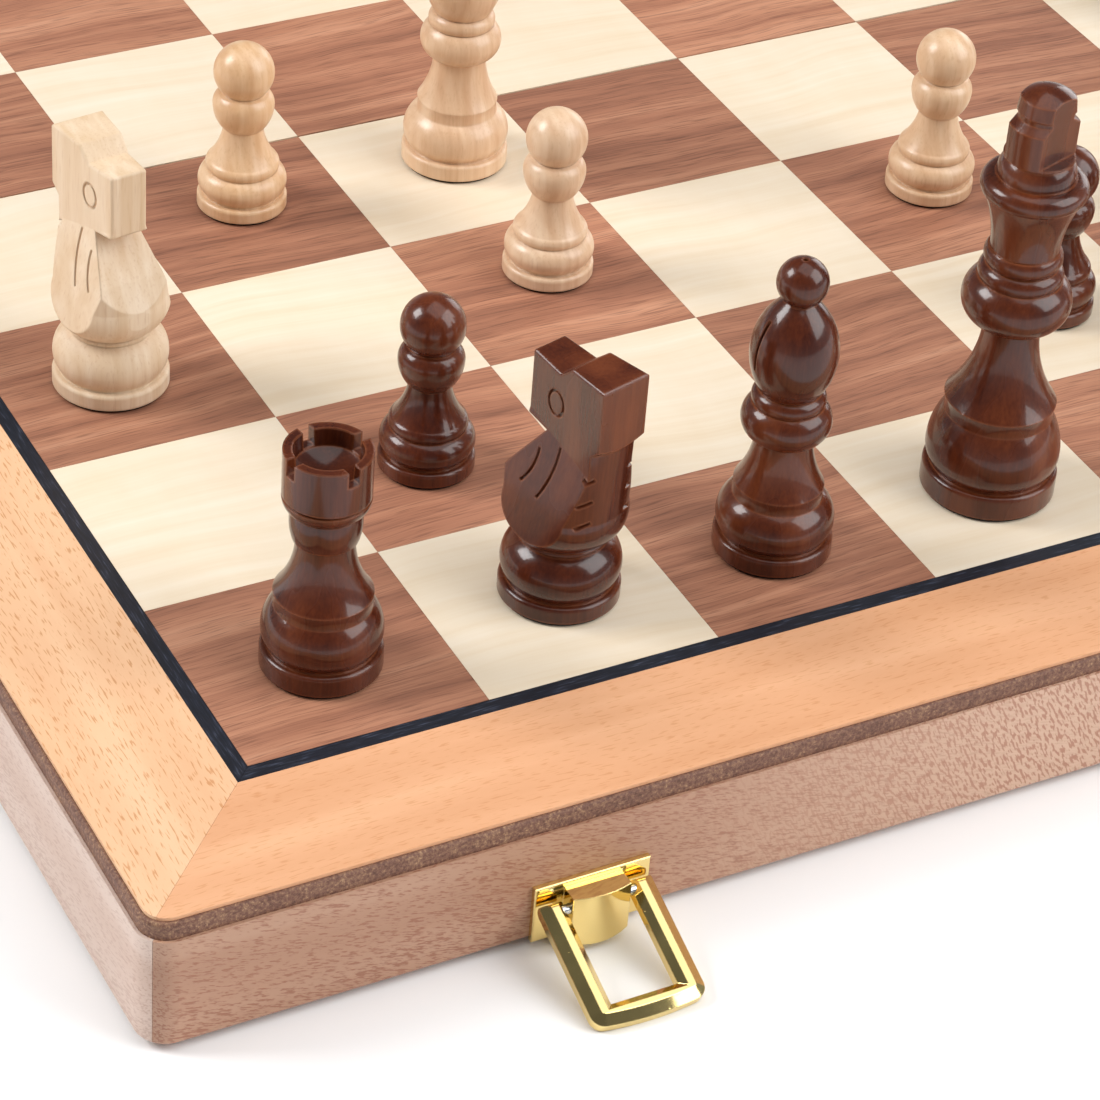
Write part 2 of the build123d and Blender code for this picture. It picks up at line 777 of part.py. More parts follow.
def bishop_body():
    """Bishop with a mitre, its saw cut and a ball that keeps the lathe's centre hole."""
    cuts = foot(bishop_foot_radius, bishop_disc_height, bishop_bulge_low, bishop_bulge_high,
                bishop_waist_radius)
    cuts += [(bishop_ridge_radius, bishop_ridge_height, -cove_bow),
             (bishop_stem_radius, bishop_stem_length, -bishop_stem_bow)]
    cuts += bead(bishop_stem_radius + quirk, bishop_collar_radius, bishop_collar_top_radius,
                 bishop_collar_height)
    cuts += bead(bishop_collar_top_radius - quirk, bishop_bead_radius, bishop_mitre_base_radius + quirk,
                 bishop_bead_height)
    cuts += [(bishop_mitre_base_radius, 0, 0),
             (bishop_mitre_top_radius, bishop_mitre_height, bishop_mitre_bow)]
    cuts += ball(bishop_mitre_top_radius - quirk, bishop_ball_radius, quirk)
    top = sole_thickness + sum(cut[1] for cut in cuts)
    body = turned(cuts) - Pos(0, 0, top) * Cylinder(bishop_mark_radius, 2 * bishop_mark_depth)
    middle = bishop_slit_low + bishop_slit_length / 2
    mitre_radius = (bishop_mitre_base_radius + bishop_mitre_top_radius) / 2 + bishop_mitre_bow
    slit = Pos(-mitre_radius, 0, middle) * Box(2 * bishop_slit_depth, bishop_slit_width, bishop_slit_length)
    return body - slit


def pawn_body():
    """Pawn with a collar and a ball."""
    cuts = foot(pawn_foot_radius, pawn_disc_height, pawn_bulge_low, pawn_bulge_high, pawn_waist_radius)
    cuts += bead(pawn_waist_radius, pawn_ring_radius, pawn_waist_radius - quirk, pawn_ring_height)
    cuts += [(pawn_stem_radius, pawn_stem_length, -pawn_stem_bow)]
    cuts += swell(pawn_stem_radius + quirk, pawn_collar_radius, pawn_collar_top_radius,
                  pawn_collar_low, pawn_collar_high)
    cuts += ball(pawn_neck_radius, pawn_ball_radius, quirk)
    return turned(cuts)


def side_slab(points, half):
    """Prism of an outline in the Y-Z plane, as wide as twice half along X."""
    return extrude(Pos(-half, 0, 0) * (Plane.YZ * make_face(Polyline(*points, close=True))), 2 * half)


def knight_waste(side, inset):
    """Waste beyond one sawn side of the horse, whose cheek widens to the back and neck spreads downward."""
    size = 4 * knight_height
    waste = []
    for slope_y, slope_z in ((knight_cheek_taper, 0), (0, knight_side_spread)):
        cut = Plane(origin=(side * (knight_cheek - inset), 0, knight_head_bottom), x_dir=(0, 1, -slope_y),
                    z_dir=(side, slope_y, slope_z))
        waste.append(cut * Pos(0, 0, size / 2) * Box(size, size, size))
    return waste[0] & waste[1]


def curved_line(start, middle, end):
    """Thin curved blade across the horse that engraves a line on both sides."""
    blade = trace(ThreePointArc(start, middle, end), knight_line_width)
    return extrude(Pos(-knight_height, 0, 0) * (Plane.YZ * blade), 2 * knight_height)


def knight_body():
    """Horse sawn from a turned blank, its muzzle towards +Y."""
    base = foot(knight_foot_radius, knight_disc_height, knight_bulge_low, knight_bulge_high,
                knight_waist_radius)
    base += bead(knight_waist_radius, knight_collar_radius, knight_waist_radius, knight_collar_height)
    neck_z = sole_thickness + sum(cut[1] for cut in base)
    plinth = turned(base + [(0, 0, 0)])
    reach = math.hypot(knight_back, knight_cheek + knight_back * knight_cheek_taper)
    blank = turned([(0, neck_z - sole_thickness, 0), (knight_chest_start_radius, 0, 0),
                    (knight_chest_radius, knight_chest_height, knight_chest_bow),
                    (knight_nape_radius, knight_crest_bottom - knight_chest_height - neck_z, 0),
                    (reach, reach - knight_nape_radius, 0), (reach, knight_height, 0), (0, 0, 0)])
    profile = [(-knight_back, neck_z), (-knight_back, knight_height),
               (-knight_crest_front, knight_height), (knight_crest_slope - knight_crest_front, knight_brow),
               (knight_muzzle, knight_muzzle_top), (knight_muzzle, knight_muzzle_bottom),
               (knight_throat, knight_muzzle_bottom - knight_throat_drop),
               (knight_chest_corner, knight_chest_corner_height),
               (knight_chest_radius, neck_z + knight_chest_height), (knight_chest_radius, neck_z)]
    horse = side_slab(profile, knight_height) & blank
    horse -= knight_waste(-1, 0) + knight_waste(1, 0)
    rounded = horse.edges().filter_by(lambda edge: edge.bounding_box().min.Z > knight_brow - quirk or
                                      edge.bounding_box().min.Y > knight_muzzle - quirk and
                                      edge.center().Z > knight_muzzle_bottom + quirk)
    horse = fillet(rounded, knight_edge_radius)
    eye = Ellipse(knight_eye_radius, knight_eye_tall) - Ellipse(
        knight_eye_radius - knight_line_width, knight_eye_tall - knight_line_width)
    engraving = extrude(Pos(-knight_height, 0, 0) * (Plane.YZ * (Pos(0, knight_eye_height) * eye)),
                        2 * knight_height)
    for n, length in enumerate(knight_line_lengths):
        top = (n * knight_line_spacing - knight_line_lean, knight_line_height - n * knight_line_spacing / 2)
        low = (top[0] + knight_line_lean, top[1] - length)
        middle = ((top[0] + low[0]) / 2 - knight_line_bow, (top[1] + low[1]) / 2)
        engraving += curved_line(top, middle, low)
    horse -= engraving & (knight_waste(-1, knight_engraving) + knight_waste(1, knight_engraving))
    for n in range(knight_nick_count):
        for side in (-1, 1):
            spot = Pos(side * knight_nick_spread, -knight_chest_radius + knight_nick_width,
                       neck_z + knight_chest_height + n * knight_nick_rise)
            nick = Box(knight_nick_length, knight_nick_length, knight_nick_width)
            horse -= spot * Rot(knight_nick_lean, side * knight_nick_slant, 0) * nick
    return plinth + horse


def man(body, foot_radius):
    """Wooden body with its bored sole, the magnet in it and the felt disc under it."""
    depth = magnet_thickness + magnet_clearance
    bore = Pos(0, 0, sole_thickness + depth / 2) * Cylinder(magnet_radius + magnet_clearance, depth)
    magnet = Pos(0, 0, sole_thickness + magnet_thickness / 2) * Cylinder(magnet_radius, magnet_thickness)
    felt = Pos(0, 0, sole_thickness / 2) * Cylinder(foot_radius - sole_inset, sole_thickness)
    return [(body - bore).solid(), magnet, felt]


def place(pieces, file, rank, shift_x, shift_y, turn):
    """A man on its square, file and rank counted from the near left corner, moved off its centre."""
    x = (file - (files - 1) / 2) * square_side + shift_x
    y = (rank - ranks_per_half + 0.5) * square_side + shift_y
    return Compound(children=[Pos(x, y, top_z) * Rot(0, 0, turn) * piece for piece in pieces])


king = man(king_body(), king_foot_radius)
queen = man(queen_body(), queen_foot_radius)
rook = man(rook_body(), rook_foot_radius)
bishop = man(bishop_body(), bishop_foot_radius)
knight = man(knight_body(), knight_foot_radius)
pawn = man(pawn_body(), pawn_foot_radius)

# Where each man stands: file, rank, how far off the centre of its square, and its turn
men = {
    "dark_rook_left": place(rook, 0, 0, 0.2, -1.7, 0),
    "dark_knight_left": place(knight, 1, 0, 2.3, 0.4, 15),
    "dark_bishop_left": place(bishop, 2, 0, -0.4, -2.2, 0),
    "dark_king": place(king, 3, 0, 1.4, -1.2, 0),
    "dark_pawn_b": place(pawn, 1, 1, -2.4, -1.0, 0),
    "dark_pawn_e": place(pawn, 4, 1, 0, 0, 0),
    "dark_bishop_right": place(bishop, 5, 0, 0.5, -0.6, 200),
    "dark_knight_right": place(knight, 6, 0, -0.6, 0.4, -8),
    "dark_rook_right": place(rook, 7, 0, 0.7, 0.3, 20),
    "dark_pawn_f": place(pawn, 5, 1, 0.8, 0.5, 0),
    "dark_pawn_g": place(pawn, 6, 1, -0.5, 0.9, 0),
    "dark_pawn_h": place(pawn, 7, 1, 0.3, -0.7, 0),
    "dark_queen": place(queen, 7, 3, -0.8, 0.6, 10),
    "dark_pawn_a": place(pawn, 2, 5, 0.6, 0.2, 0),
    "dark_pawn_c": place(pawn, 5, 4, -0.4, 0.8, 0),
    "dark_pawn_d": place(pawn, 6, 3, 0.9, -0.3, 0),
    "light_knight_left": place(knight, 0, 2, -1.3, -0.1, 187),
    "light_pawn_c": place(pawn, 2, 2, 2.6, 3.1, 0),
    "light_pawn_e": place(pawn, 4, 2, 1.2, 2.2, 0),
    "light_pawn_b": place(pawn, 1, 3, 1.2, 2.8, 0),
    "light_bishop_left": place(bishop, 2, 3, 3.8, 3.2, 180),
    "light_king": place(king, 3, 7, 0.5, -0.4, 60),
    "light_queen": place(queen, 4, 7, -0.7, 0.2, 0),
    "light_rook_left": place(rook, 0, 7, 0.4, 0.6, 5),
    "light_rook_right": place(rook, 7, 7, -0.3, -0.5, 35),
    "light_bishop_right": place(bishop, 5, 7, 0.9, -0.2, 30),
    "light_knight_right": place(knight, 6, 7, -0.2, 0.7, 172),
    "light_pawn_a": place(pawn, 0, 6, 0.6, -0.8, 0),
    "light_pawn_d": place(pawn, 3, 6, -0.9, 0.3, 0),
    "light_pawn_f": place(pawn, 5, 6, 0.2, 0.5, 0),
    "light_pawn_g": place(pawn, 6, 6, 0.7, -0.6, 0),
    "light_pawn_h": place(pawn, 7, 6, -0.5, 0.1, 0),
}

case = {
    "near_panel": panel(),
    "near_steel_sheet": steel_sheet(),
    "near_border_veneer": border_veneer(),
    "near_inlay_line": inlay_line(),
    "near_walnut_squares": squares(0, 0),
    "near_maple_squares": squares(1, 0),
    "near_rails": rails(),
    "near_dividers": dividers(),
    "near_felt_lining": felt_lining(),
    "near_screws": screws(),
}
far_case = {name.replace("near_", "far_"): far(shape) for name, shape in case.items()
            if "squares" not in name}
far_case["far_walnut_squares"] = squares(0, ranks_per_half)
far_case["far_maple_squares"] = squares(1, ranks_per_half)

metalwork = {
    "near_hinge_leaves": hinge_leaves(0),
    "far_hinge_leaves": far(hinge_leaves(1)),
    "hinge_pins": hinge_pins(),
    "latch_plates": latch_plates(),
    "latch_pins": latch_pins(),
    "latch_bail_left": latch_bail(-latch_spacing / 2),
    "latch_bail_right": latch_bail(latch_spacing / 2),
    "keeper_plates": far(keeper_plates()),
}

os.makedirs("parts", exist_ok=True)
for name, shape in {**case, **far_case, **metalwork, **men}.items():
    export_step(Pos(0, fold_y, 0) * shape, f"parts/{name}.step")

print("fold line at y", round(fold_y, 4))
print("hinge axis at z", round(axis_z, 4))
print("latch pivots at y", round(fold_y + pivot_y, 4), "z", round(pivot_z, 4))
print("bail droop", round(math.degrees(rest_droop), 3))
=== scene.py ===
import math

import bpy
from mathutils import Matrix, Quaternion, Vector

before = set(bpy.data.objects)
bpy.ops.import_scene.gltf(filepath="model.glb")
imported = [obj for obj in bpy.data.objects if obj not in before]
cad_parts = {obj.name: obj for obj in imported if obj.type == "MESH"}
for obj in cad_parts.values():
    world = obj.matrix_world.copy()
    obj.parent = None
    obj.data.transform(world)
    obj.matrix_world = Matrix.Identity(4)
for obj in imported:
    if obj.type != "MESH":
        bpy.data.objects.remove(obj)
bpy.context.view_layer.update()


# The table and the studio. The set stands on a white sweep, seen through a short telephoto lens from
# above its near left corner. A small lamp at the left, a wide one at the right front, one overhead and
# a low card behind the right corner light it, in a room that is pale at the floor and darker above.

def linear(shade):
    """Linear colour of an sRGB hex value."""
    parts = [int(shade[n:n + 2], 16) / 255 for n in (1, 3, 5)]
    return [c / 12.92 if c <= 0.04045 else ((c + 0.055) / 1.055) ** 2.4 for c in parts] + [1.0]


def add(material, kind, inputs, out=0, stops=None, **settings):
    """Adds a node with its settings, links and ramp colours, and gives one of its outputs.

    An input is given by its name, or by its number where a node has several of one name.
    """
    node = material.node_tree.nodes.new(kind)
    for name, value in settings.items():
        setattr(node, name, value)
    if stops:
        ends = node.color_ramp.elements
        ends[0].position, ends[0].color = stops[0]
        ends[1].position, ends[1].color = stops[-1]
        for place, shade in stops[1:-1]:
            ends.new(place).color = shade
    for name, value in inputs.items():
        if isinstance(value, bpy.types.NodeSocket):
            material.node_tree.links.new(value, node.inputs[name])
        else:
            node.inputs[name].default_value = value
    return node.outputs[out] if node.outputs else None


def new_material(name):
    """Empty node material."""
    material = bpy.data.materials.new(name)
    material.use_nodes = True
    material.node_tree.nodes.clear()
    return material


def surface(material, **inputs):
    """Ends a material in its shader; the names are the shader's sockets with _ for a space."""
    named = {name.replace("_", " "): value for name, value in inputs.items()}
    shader = add(material, "ShaderNodeBsdfPrincipled", named)
    add(material, "ShaderNodeOutputMaterial", {"Surface": shader})


def finish(material, *nodes):
    """Gives the CAD nodes this material."""
    for name in nodes:
        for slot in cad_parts[name].material_slots:
            slot.material = material


camera = bpy.data.objects.new("camera", bpy.data.cameras.new("camera"))
bpy.context.collection.objects.link(camera)
bpy.context.scene.camera = camera
camera.data.sensor_width = 36
camera.data.lens = 128.29
camera.location = (-0.343675, -0.555129, 0.404046)
aim = Vector((0.39754, 0.69117, -0.60353)).to_track_quat("-Z", "Y")
roll = math.radians(4.618)
camera.rotation_euler = (aim @ Quaternion((0, 0, 1), roll)).to_euler()

bpy.ops.mesh.primitive_plane_add(size=8, location=(0, 0, 0))
floor = bpy.context.object
floor.name = "floor"
sweep = new_material("white_paper_sweep")
surface(sweep, Base_Color=linear("#fbfbfb"), Roughness=0.9)
floor.data.materials.append(sweep)

for name, place, size, power in (("small_left", (-1.1, 0.5, 0.95), 0.65, 17),
                                 ("wide_right", (0.95, -0.95, 1.0), 1.3, 24),
                                 ("overhead", (0.1, -0.2, 1.7), 1.6, 12),
                                 ("low_card", (1.5, 0.75, 0.4), 0.9, 6)):
    lamp = bpy.data.objects.new(name, bpy.data.lights.new(name, "AREA"))
    bpy.context.collection.objects.link(lamp)
    lamp.data.size = size
    lamp.data.energy = power
    lamp.location = place
    lamp.rotation_euler = (-Vector(place)).to_track_quat("-Z", "Y").to_euler()

world = bpy.data.worlds.new("studio")
bpy.context.scene.world = world
world.use_nodes = True
height = add(world, "ShaderNodeTexCoord", {}, out="Generated")
height = add(world, "ShaderNodeSeparateXYZ", {0: height}, out="Z")
glow = add(world, "ShaderNodeValToRGB", {0: height}, stops=[
    (0.0, linear("#a3a6a9")), (0.2, linear("#85888b")), (0.45, linear("#626364"))])
world.node_tree.links.new(glow, world.node_tree.nodes["Background"].inputs["Color"])
bpy.context.scene.view_settings.view_transform = "Standard"


# The top panels. Each half has a 3 mm fibreboard panel, sawn and rounded over at its edge, which
# shows as a dark brown line between the border and the walls. Pressed wood fibre gives it pale and
# dark specks about 0.5 mm wide and no grain.

board = new_material("sanded_fibreboard")
place = add(board, "ShaderNodeTexCoord", {}, out="Object")
fibre = add(board, "ShaderNodeTexNoise",
            {"Vector": place, "Scale": 2100, "Detail": 3, "Roughness": 0.7})
clump = add(board, "ShaderNodeTexNoise", {"Vector": place, "Scale": 160, "Detail": 2})
speck = add(board, "ShaderNodeMath", {0: clump, 1: 0.25, 2: fibre}, operation="MULTIPLY_ADD")
shade = add(board, "ShaderNodeValToRGB", {0: speck}, stops=[
    (0.46, linear("#5b3a2b")), (0.62, linear("#775040")),
    (0.74, linear("#8c674e")), (0.88, linear("#b6926e"))])
bump = add(board, "ShaderNodeBump", {"Height": fibre, "Strength": 0.35, "Distance": 0.0002})
surface(board, Base_Color=shade, Roughness=0.62, Normal=bump)
finish(board, "near_panel", "far_panel")


# The steel sheets lie in a bed in the panels, under the squares, and the magnets in the men hold to
# them. They are cold-rolled along the fold. A pattern's counts are features to a metre along x, y and
# z, here and below, so 1800 makes rolling lines about 0.5 mm wide.

sheet = new_material("cold_rolled_steel")
place = add(sheet, "ShaderNodeTexCoord", {}, out="Object")
along = add(sheet, "ShaderNodeVectorMath", {0: place, 1: (12, 1800, 12)}, operation="MULTIPLY")
lines = add(sheet, "ShaderNodeTexNoise", {"Vector": along, "Scale": 1, "Detail": 2})
rough = add(sheet, "ShaderNodeMapRange", {"Value": lines, "To Min": 0.25, "To Max": 0.45})
surface(sheet, Base_Color=linear("#a9abad"), Metallic=1.0, Roughness=rough)
finish(sheet, "near_steel_sheet", "far_steel_sheet")


# The border is sliced beech veneer, pressed on the panels in mitred strips. Beech has short dark
# flecks along the grain, about 0.3 mm wide and 1 to 3 mm long, and the grain turns at each mitre.

fold_y = 0.0085379
square_side = 0.040
squares_edge = 4 * square_side


def turned_grain(material, edge):
    """Place along, across and up a frame round the board, where the grain turns at the mitres."""
    place = add(material, "ShaderNodeTexCoord", {}, out="Object")
    place = add(material, "ShaderNodeVectorMath", {0: place, 1: (0, fold_y, 0)}, operation="SUBTRACT")
    size = add(material, "ShaderNodeVectorMath", {0: place}, operation="ABSOLUTE")
    parts = add(material, "ShaderNodeSeparateXYZ", {0: size}).node.outputs
    wider = add(material, "ShaderNodeMath", {0: parts["X"], 1: parts["Y"]}, operation="GREATER_THAN")
    total = add(material, "ShaderNodeMath", {0: parts["X"], 1: parts["Y"]})
    outside = add(material, "ShaderNodeMath", {0: total, 1: edge}, operation="GREATER_THAN")
    side = add(material, "ShaderNodeMath", {0: wider, 1: outside}, operation="MULTIPLY")
    flat = add(material, "ShaderNodeSeparateXYZ", {0: place}).node.outputs
    swapped = add(material, "ShaderNodeCombineXYZ", {"X": flat["Y"], "Y": flat["X"], "Z": flat["Z"]})
    grain = add(material, "ShaderNodeMix", {0: side, 4: place, 5: swapped}, out=1, data_type="VECTOR")
    return grain, side


veneer = new_material("lacquered_beech_veneer")
grain, side = turned_grain(veneer, squares_edge)
sway = add(veneer, "ShaderNodeTexNoise", {"Vector": grain, "Scale": 14, "Detail": 1}, out="Color")
grain = add(veneer, "ShaderNodeVectorMath",
            {0: sway, 1: (0, 0.006, 0), 2: grain}, operation="MULTIPLY_ADD")
long = add(veneer, "ShaderNodeVectorMath", {0: grain, 1: (400, 3000, 3000)}, operation="MULTIPLY")
flecks = add(veneer, "ShaderNodeTexNoise", {"Vector": long, "Scale": 1, "Detail": 1, "Roughness": 0.4})
wide = add(veneer, "ShaderNodeVectorMath", {0: grain, 1: (9, 130, 130)}, operation="MULTIPLY")
bands = add(veneer, "ShaderNodeTexNoise", {"Vector": wide, "Scale": 1, "Detail": 3})
near_tone = add(veneer, "ShaderNodeValToRGB", {0: bands}, stops=[
    (0.3, linear("#d99f75")), (0.5, linear("#e2aa81")), (0.72, linear("#ecb990"))])
side_tone = add(veneer, "ShaderNodeValToRGB", {0: bands}, stops=[
    (0.3, linear("#e3b188")), (0.5, linear("#ebbd95")), (0.72, linear("#f1c8a2"))])
tone = add(veneer, "ShaderNodeMix", {0: side, 6: near_tone, 7: side_tone}, out=2, data_type="RGBA")
depth = add(veneer, "ShaderNodeMapRange", {"Value": side, "To Min": 0.33, "To Max": 0.6})
mask = add(veneer, "ShaderNodeMapRange",
           {"Value": flecks, "From Min": 0.59, "From Max": 0.68, "To Max": depth})
shade = add(veneer, "ShaderNodeMix", {0: mask, 6: tone, 7: linear("#bd7636")}, out=2, data_type="RGBA")
bump = add(veneer, "ShaderNodeBump", {"Height": flecks, "Strength": 0.12, "Distance": 0.0001})
surface(veneer, Base_Color=shade, Roughness=0.42, Normal=bump)
finish(veneer, "near_border_veneer", "far_border_veneer")


# The line between the border and the squares is veneer dyed blue-black through, in mitred strips.
# The dye takes less in the hard fibres, which stay as fine paler dashes along the strip.

dyed = new_material("dyed_black_veneer")
grain, _ = turned_grain(dyed, squares_edge)
long = add(dyed, "ShaderNodeVectorMath", {0: grain, 1: (260, 3400, 3400)}, operation="MULTIPLY")
dashes = add(dyed, "ShaderNodeTexNoise", {"Vector": long, "Scale": 1, "Detail": 2, "Roughness": 0.6})
shade = add(dyed, "ShaderNodeValToRGB", {0: dashes}, stops=[
    (0.42, linear("#14161f")), (0.6, linear("#1f222d")), (0.74, linear("#474d5d"))])
bump = add(dyed, "ShaderNodeBump", {"Height": dashes, "Strength": 0.2, "Distance": 0.0001})
surface(dyed, Base_Color=shade, Roughness=0.42, Normal=bump)
finish(dyed, "near_inlay_line", "far_inlay_line")


# The dark squares are sliced walnut veneer, each its own cut with the grain along the near edge, so
# tone and figure change from square to square. Walnut has soft streaks 4 mm wide, dark lines 0.5 mm
# wide and open pores, in truth 0.2 mm wide and drawn as dashes of 0.3 mm so that they show.

def own_grain(material, drift):
    """Place on the board, moved up to 3 m by chance from square to square, and that chance."""
    place = add(material, "ShaderNodeTexCoord", {}, out="Object")
    place = add(material, "ShaderNodeVectorMath", {0: place, 1: (0, fold_y, 0)}, operation="SUBTRACT")
    cell = add(material, "ShaderNodeVectorMath",
               {0: place, 1: (square_side, square_side, 1)}, operation="DIVIDE")
    cell = add(material, "ShaderNodeVectorMath", {0: cell}, operation="FLOOR")
    chance = add(material, "ShaderNodeTexWhiteNoise", {"Vector": cell}).node.outputs
    sway = add(material, "ShaderNodeTexNoise", {"Vector": place, "Scale": 16, "Detail": 2}, out="Color")
    grain = add(material, "ShaderNodeVectorMath",
                {0: sway, 1: (0, drift, 0), 2: place}, operation="MULTIPLY_ADD")
    grain = add(material, "ShaderNodeVectorMath",
                {0: chance["Color"], 1: (3, 3, 3), 2: grain}, operation="MULTIPLY_ADD")
    return grain, chance["Value"]


walnut = new_material("lacquered_walnut_veneer")
grain, lot = own_grain(walnut, 0.01)
wide = add(walnut, "ShaderNodeVectorMath", {0: grain, 1: (6, 260, 1)}, operation="MULTIPLY")
streaks = add(walnut, "ShaderNodeTexNoise", {"Vector": wide, "Scale": 1, "Detail": 4, "Roughness": 0.6})
cloud = add(walnut, "ShaderNodeVectorMath", {0: grain, 1: (10, 60, 1)}, operation="MULTIPLY")
cloud = add(walnut, "ShaderNodeTexNoise", {"Vector": cloud, "Scale": 1, "Detail": 2})
figure = add(walnut, "ShaderNodeMath", {0: cloud, 1: 0.5, 2: streaks}, operation="MULTIPLY_ADD")
tone = add(walnut, "ShaderNodeValToRGB", {0: figure}, stops=[
    (0.5, linear("#90604b")), (0.72, linear("#aa745a")),
    (0.85, linear("#ba8366")), (1.0, linear("#ca9577"))])
line = add(walnut, "ShaderNodeVectorMath", {0: grain, 1: (11, 1900, 1)}, operation="MULTIPLY")
line = add(walnut, "ShaderNodeTexNoise", {"Vector": line, "Scale": 1, "Detail": 2, "Roughness": 0.6})
mask = add(walnut, "ShaderNodeMapRange",
           {"Value": line, "From Min": 0.5, "From Max": 0.7, "To Max": 0.36})
tone = add(walnut, "ShaderNodeMix", {0: mask, 6: tone, 7: linear("#744a3b")}, out=2, data_type="RGBA")
fine = add(walnut, "ShaderNodeVectorMath", {0: grain, 1: (150, 3600, 1)}, operation="MULTIPLY")
pores = add(walnut, "ShaderNodeTexNoise", {"Vector": fine, "Scale": 1, "Detail": 1})
mask = add(walnut, "ShaderNodeMapRange",
           {"Value": pores, "From Min": 0.54, "From Max": 0.68, "To Max": 0.45})
shade = add(walnut, "ShaderNodeMix", {0: mask, 6: tone, 7: linear("#603c2f")}, out=2, data_type="RGBA")
light = add(walnut, "ShaderNodeMapRange", {"Value": lot, "To Min": 0.86, "To Max": 1.14})
shade = add(walnut, "ShaderNodeHueSaturation", {"Color": shade, "Value": light})
bump = add(walnut, "ShaderNodeBump",
           {"Height": pores, "Strength": 0.25, "Distance": 0.0001, "Filter Width": 0.1})
surface(walnut, Base_Color=shade, Roughness=0.46, Normal=bump)
finish(walnut, "near_walnut_squares", "far_walnut_squares")


# The light squares are sliced maple veneer, cream and nearly even, with a faint streak along the
# grain and a soft mottle across it.

maple = new_material("lacquered_maple_veneer")
grain, lot = own_grain(maple, 0.012)
wide = add(maple, "ShaderNodeVectorMath", {0: grain, 1: (14, 320, 1)}, operation="MULTIPLY")
streaks = add(maple, "ShaderNodeTexNoise", {"Vector": wide, "Scale": 1, "Detail": 4, "Roughness": 0.65})
curl = add(maple, "ShaderNodeVectorMath", {0: grain, 1: (190, 60, 1)}, operation="MULTIPLY")
curl = add(maple, "ShaderNodeTexNoise", {"Vector": curl, "Scale": 1, "Detail": 2})
figure = add(maple, "ShaderNodeMath", {0: curl, 1: 0.2, 2: streaks}, operation="MULTIPLY_ADD")
tone = add(maple, "ShaderNodeValToRGB", {0: figure}, stops=[
    (0.38, linear("#e4d0b3")), (0.6, linear("#e9d8bf")), (0.85, linear("#eddfca"))])
light = add(maple, "ShaderNodeMapRange", {"Value": lot, "To Min": 0.96, "To Max": 1.03})
shade = add(maple, "ShaderNodeHueSaturation", {"Color": tone, "Value": light})
bump = add(maple, "ShaderNodeBump", {"Height": streaks, "Strength": 0.1, "Distance": 0.0001})
surface(maple, Base_Color=shade, Roughness=0.44, Normal=bump)
finish(maple, "near_maple_squares", "far_maple_squares")


# The walls are four solid beech rails to a half, mitred and glued, with eased edges. Fine flecks
# 1.4 mm long run all over, and past the first third of a rail, where the saw ran along the rays, the
# wood is paler and crowded with steep reddish ray flecks 1.7 mm long and 0.4 mm wide.

case_edge = 0.1874
fleck_angle = math.radians(-16)
ray_angle = math.radians(-62)
rays_start, rays_full = -0.11, -0.04
rail = new_material("lacquered_solid_beech")
grain, side = turned_grain(rail, case_edge)
turned = add(rail, "ShaderNodeVectorRotate",
             {"Vector": grain, "Angle": fleck_angle}, rotation_type="Y_AXIS")
long = add(rail, "ShaderNodeVectorMath", {0: turned, 1: (720, 3300, 3300)}, operation="MULTIPLY")
flecks = add(rail, "ShaderNodeTexNoise", {"Vector": long, "Scale": 1, "Detail": 2, "Roughness": 0.5})
wide = add(rail, "ShaderNodeVectorMath", {0: grain, 1: (6, 90, 90)}, operation="MULTIPLY")
bands = add(rail, "ShaderNodeTexNoise", {"Vector": wide, "Scale": 1, "Detail": 3})
front_tone = add(rail, "ShaderNodeValToRGB", {0: bands}, stops=[
    (0.3, linear("#a87c62")), (0.5, linear("#b2876d")), (0.72, linear("#bd967d"))])
# The side rails get a paler, pinker tone than the front rail. Partly this is other planks of the wood,
# and partly it is painted light: the extra light and grazing sheen that the left lamp gives the side
# walls, painted into their colour.
side_tone = add(rail, "ShaderNodeValToRGB", {0: bands}, stops=[
    (0.3, linear("#c6a897")), (0.5, linear("#d0b6a7")), (0.72, linear("#d9c3b6"))])
tone = add(rail, "ShaderNodeMix", {0: side, 6: front_tone, 7: side_tone}, out=2, data_type="RGBA")
along = add(rail, "ShaderNodeSeparateXYZ", {0: grain}, out="X")
zone = add(rail, "ShaderNodeMapRange",
           {"Value": along, "From Min": rays_start, "From Max": rays_full, "To Max": 0.7})
tone = add(rail, "ShaderNodeMix", {0: zone, 6: tone, 7: linear("#dbb9a1")}, out=2, data_type="RGBA")
stretch = add(rail, "ShaderNodeVectorMath", {0: grain, 1: (11, 25, 25)}, operation="MULTIPLY")
stretch = add(rail, "ShaderNodeTexNoise", {"Vector": stretch, "Scale": 1, "Detail": 1})
stretch = add(rail, "ShaderNodeMapRange",
              {"Value": stretch, "From Min": 0.4, "From Max": 0.6, "To Min": -0.05, "To Max": 0.05})
dense = add(rail, "ShaderNodeMath", {0: flecks, 1: stretch})
depth = add(rail, "ShaderNodeMapRange", {"Value": side, "To Min": 0.75, "To Max": 0.3})
depth = add(rail, "ShaderNodeMath", {0: zone, 1: -0.85, 2: depth}, operation="MULTIPLY_ADD")
mask = add(rail, "ShaderNodeMapRange",
           {"Value": dense, "From Min": 0.47, "From Max": 0.62, "To Max": depth})
shade = add(rail, "ShaderNodeMix", {0: mask, 6: tone, 7: linear("#935a42")}, out=2, data_type="RGBA")
steep = add(rail, "ShaderNodeVectorRotate",
            {"Vector": grain, "Angle": ray_angle}, rotation_type="Y_AXIS")
long = add(rail, "ShaderNodeVectorMath", {0: steep, 1: (600, 2300, 2300)}, operation="MULTIPLY")
rays = add(rail, "ShaderNodeTexNoise", {"Vector": long, "Scale": 1, "Detail": 1, "Roughness": 0.4})
mask = add(rail, "ShaderNodeMapRange",
           {"Value": rays, "From Min": 0.51, "From Max": 0.58, "To Max": zone})
